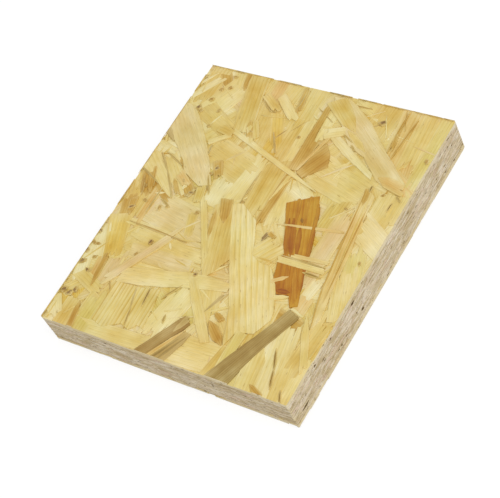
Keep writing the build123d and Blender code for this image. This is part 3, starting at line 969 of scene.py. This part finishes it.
def block_mesh(corner_low, corner_high, colour, arris=0.0):
    """Sawn block with the strands' maps, its arrises cut off at 45 degrees."""
    shell = bmesh.new()
    bmesh.ops.create_cube(shell, size=1)
    bmesh.ops.scale(shell, vec=corner_high - corner_low, verts=shell.verts)
    bmesh.ops.translate(shell, vec=(corner_low + corner_high) / 2, verts=shell.verts)
    if arris:
        bmesh.ops.bevel(shell, geom=shell.edges[:], offset=arris, segments=1, affect="EDGES", profile=0.5)
    mesh = bpy.data.meshes.new("block")
    shell.to_mesh(mesh)
    shell.free()
    mesh.uv_layers.new(name="grain")
    mesh.uv_layers.new(name="reach")
    mesh.attributes.new("painted_shade", "FLOAT", "FACE").data.foreach_set("value", [1.0] * len(mesh.polygons))
    return finish_strand(mesh, colour, 0, "sawn")


def combined(mesh, others, operation):
    """Joins meshes to a mesh, cuts them from it, or keeps what they share."""
    group = bpy.data.collections.new("operands")
    for other in others:
        group.objects.link(bpy.data.objects.new("operand", other))
    holder = bpy.data.objects.new("combined", mesh)
    modifier = holder.modifiers.new("combined", "BOOLEAN")
    modifier.operation = operation
    modifier.solver = "MANIFOLD"
    modifier.operand_type = "COLLECTION"
    modifier.collection = group
    scene.collection.children.link(group)
    made = evaluated_mesh(holder)
    for operand in list(group.objects):
        bpy.data.objects.remove(operand)
    bpy.data.collections.remove(group)
    return made


def one_body(mesh):
    """Leaves out the crumbs that a cut sets loose and the hollows that are sealed inside."""
    body = bmesh.new()
    body.from_mesh(mesh)
    unseen = set(body.verts)
    groups = []
    while unseen:
        group = [unseen.pop()]
        for vert in group:
            near = unseen.intersection(edge.other_vert(vert) for edge in vert.link_edges)
            unseen -= near
            group += near
        groups.append(group)
    groups.sort(key=len)
    bmesh.ops.delete(body, geom=[vert for group in groups[:-1] for vert in group], context="VERTS")
    body.to_mesh(mesh)
    body.free()
    return mesh


inset = Vector((core_short, core_short, core_deep))
mat = combined(block_mesh(low + inset, high - inset, core_tone), strands, "UNION")
board = combined(mat, [block_mesh(low, high, arris_tone, arris)], "INTERSECT")

wear_dice = random.Random(29)
cuts = []
cut_above = 0.2 * mm  # how far each cutting shape starts outside the panel
split_open_depth = 0.3 * mm
split_long_share = 0.8  # length of the opening in a split, to the split's own
split_wide_share = 0.4  # and its width
split_tone = "#B3934E"
void_tone = "#8E7348"
pit_tone = "#957D52"


def opening_mesh(long, wide, depth):
    """Lens-shaped opening that goes to a depth below z = 0."""
    corners = strand_outline(long, (wide, wide), pointed, wear_dice)
    mesh = strand_mesh(corners, depth=cut_above + depth, slope=0)
    mesh.transform(Matrix.Translation((0, 0, cut_above)))
    return mesh


for start, end, share in split_shares:
    if share < open_share:
        continue
    long, middle, heading = line_on_face(start, end)
    mesh = opening_mesh(split_long_share * long, split_wide_share * width * share, split_open_depth)
    mesh.transform(Matrix.Translation((*middle, thickness)) @ Matrix.Rotation(heading, 4, "Z"))
    cuts.append(finish_strand(mesh, split_tone, 0, "sawn"))

# Voids on the right-hand side, where the core strands don't meet: place along and up, length, height, depth
void_rows = [
    (-0.446 * length, 0.28 * thickness, 5.0 * mm, 1.1 * mm, 1.6 * mm),
    (-0.143 * length, 0.78 * thickness, 3.0 * mm, 1.1 * mm, 1.6 * mm),
    (-0.119 * length, 0.28 * thickness, 2.2 * mm, 1.1 * mm, 1.6 * mm),
    (-20.8 * mm, 7.4 * mm, 1.3 * mm, 0.7 * mm, 0.6 * mm),
    (-37.4 * mm, 4.9 * mm, 1.7 * mm, 0.8 * mm, 0.6 * mm),
    (-34.9 * mm, 4.9 * mm, 1.3 * mm, 0.7 * mm, 0.5 * mm),
    (-51.2 * mm, 14.3 * mm, 1.8 * mm, 0.8 * mm, 0.6 * mm),
]
facing_right = Matrix.Rotation(quarter, 4, "Z") @ Matrix.Rotation(quarter, 4, "X")
for along, up, void_long, void_tall, void_deep in void_rows:
    mesh = opening_mesh(void_long, void_tall, void_deep)
    mesh.transform(Matrix.Translation((high.x, along, up)) @ facing_right)
    cuts.append(finish_strand(mesh, void_tone, 0, "sawn"))

# Pits over all the sawn sides and chips along the arrises, with ranges of sizes in millimetres
wear_shapes = 8  # of each kind
pit_longs = (0.8, 2.2)
pit_wide = 0.45 * mm
pit_deep = 0.35 * mm
chip_longs = (1.0, 4.0)
chip_wides = (0.35, 0.8)
pits = []
chips = []
for k in range(wear_shapes):
    pits.append(opening_mesh(wear_dice.uniform(*pit_longs) * mm, pit_wide, pit_deep))
    chip_wide = wear_dice.uniform(*chip_wides) * mm
    chip = opening_mesh(wear_dice.uniform(*chip_longs) * mm, chip_wide, chip_wide - cut_above)
    chip.transform(Matrix.Translation((0, 0, chip_wide / 2 - cut_above)))
    chips.append(chip)
pits = shape_collection("pit", pits)
chips = shape_collection("chip", chips)
pits_per_metre = 360
# Chips on the back and left arrises get a darker tone, a painted shade along these far edges. Those on the
# front and right keep the plain chip colour.
for side, seed, chips_per_metre, chip_tone_with_far_shade in (
    ("front", 51, 260, "#B8A274"),
    ("right", 53, 260, "#B8A274"),
    ("back", 57, 140, "#988450"),
    ("left", 59, 140, "#988450"),
):
    heading = sawn_sides[side][2]
    pitted = scatter_on_side(side, pits, pits_per_metre, 0, 0, bottom_layer, thickness - bottom_layer,
                             seed=seed)
    cuts += [finish_strand(mesh, pit_tone, 0, "sawn") for mesh in pitted]
    for up, edge_seed in ((0, seed + 100), (thickness, seed + 118)):
        chipped = scatter_on_side(side, chips, chips_per_metre, 0, 0, up, up, turn_from=(0, 0, heading),
                                  turn_to=(math.tau, 0, heading), smallest=0.4, largest=0.9, seed=edge_seed)
        cuts += [finish_strand(mesh, chip_tone_with_far_shade, 0, "sawn") for mesh in chipped]
board = one_body(combined(board, cuts, "DIFFERENCE"))

board.name = "strand_board"
board.attributes.remove(board.attributes["painted_shade"])
panel = bpy.data.objects.new("strand_board", board)
scene.collection.objects.link(panel)
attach(panel, "root")
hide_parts("osb_panel")

# Studio. A white floor with a soft shadow, an even sky and one broad lamp over the right-hand side.
# The floor glows a little where it is seen, in view or in a reflection, and lights the panel as plain grey.
def seen_share(tree):
    """1 for rays that show the background: from the camera, off gloss or through glass."""
    path = add_node(tree, "ShaderNodeLightPath").outputs
    shiny = add_node(tree, "ShaderNodeMath", {0: path["Is Glossy Ray"], 1: path["Is Transmission Ray"]},
                     operation="MAXIMUM")
    return add_node(tree, "ShaderNodeMath", {0: path["Is Camera Ray"], 1: shiny}, operation="MAXIMUM")


floor_reach = 12.0  # in metres, so that its edge lies far behind the panel
floor_mesh = bpy.data.meshes.new("floor")
floor_mesh.from_pydata([(-floor_reach, -floor_reach, 0), (floor_reach, -floor_reach, 0),
                        (floor_reach, floor_reach, 0), (-floor_reach, floor_reach, 0)], [], [(0, 1, 2, 3)])
floor = bpy.data.objects.new("floor", floor_mesh)
scene.collection.objects.link(floor)
white_floor = bpy.data.materials.new("matt_white_floor")
white_floor.use_nodes = True
tree = white_floor.node_tree
tree.nodes.clear()
bounced = add_node(tree, "ShaderNodeBsdfDiffuse", {"Color": (0.75, 0.75, 0.75, 1)})
shadowed = add_node(tree, "ShaderNodeBsdfDiffuse", {"Color": (0.3, 0.3, 0.3, 1)})
glow = add_node(tree, "ShaderNodeEmission", {"Color": (1, 1, 1, 1), "Strength": 0.75})
bright = add_node(tree, "ShaderNodeAddShader", {0: shadowed, 1: glow})
mixed = add_node(tree, "ShaderNodeMixShader", {0: seen_share(tree), 1: bounced, 2: bright})
add_node(tree, "ShaderNodeOutputMaterial", {0: mixed})
floor_mesh.materials.append(white_floor)

sky = bpy.data.worlds.new("even_sky")
sky.use_nodes = True
tree = sky.node_tree
strength = add_node(tree, "ShaderNodeMapRange", {0: seen_share(tree), 3: 0.7, 4: 1.0})
tree.links.new(strength.outputs[0], tree.nodes["Background"].inputs["Strength"])
tree.nodes["Background"].inputs["Color"].default_value = (1, 1, 1, 1)
scene.world = sky

lamp_data = bpy.data.lights.new("broad_lamp", "AREA")
lamp_data.size = 1.4
lamp_data.energy = 14
lamp = bpy.data.objects.new("broad_lamp", lamp_data)
lamp.location = (1.08, -0.34, 1.3)
lamp.rotation_euler = (-lamp.location).to_track_quat("-Z", "Y").to_euler()
scene.collection.objects.link(lamp)

# Camera, placed from the corners of the panel as they stand in view
azimuth, elevation, roll = (math.radians(a) for a in (54.898, 48.483, 29.865))
aim = Vector((3.71, -8.31, 9.0)) * mm
distance = 670.51 * mm
back = Vector((math.sin(azimuth) * math.cos(elevation), -math.cos(azimuth) * math.cos(elevation),
               math.sin(elevation)))
level = (-back).cross(Vector((0, 0, 1))).normalized()
up = level.cross(-back) * math.cos(roll) + level * math.sin(roll)
camera_data = bpy.data.cameras.new("camera")
camera_data.lens = 115.39
camera_data.sensor_width = 36
camera_data.sensor_fit = "HORIZONTAL"
camera = bpy.data.objects.new("camera", camera_data)
turn = Matrix((up.cross(back), up, back)).transposed().to_4x4()
camera.matrix_world = Matrix.Translation(aim + back * distance) @ turn
scene.collection.objects.link(camera)
bpy.context.scene.camera = camera
scene.view_settings.view_transform = "Standard"
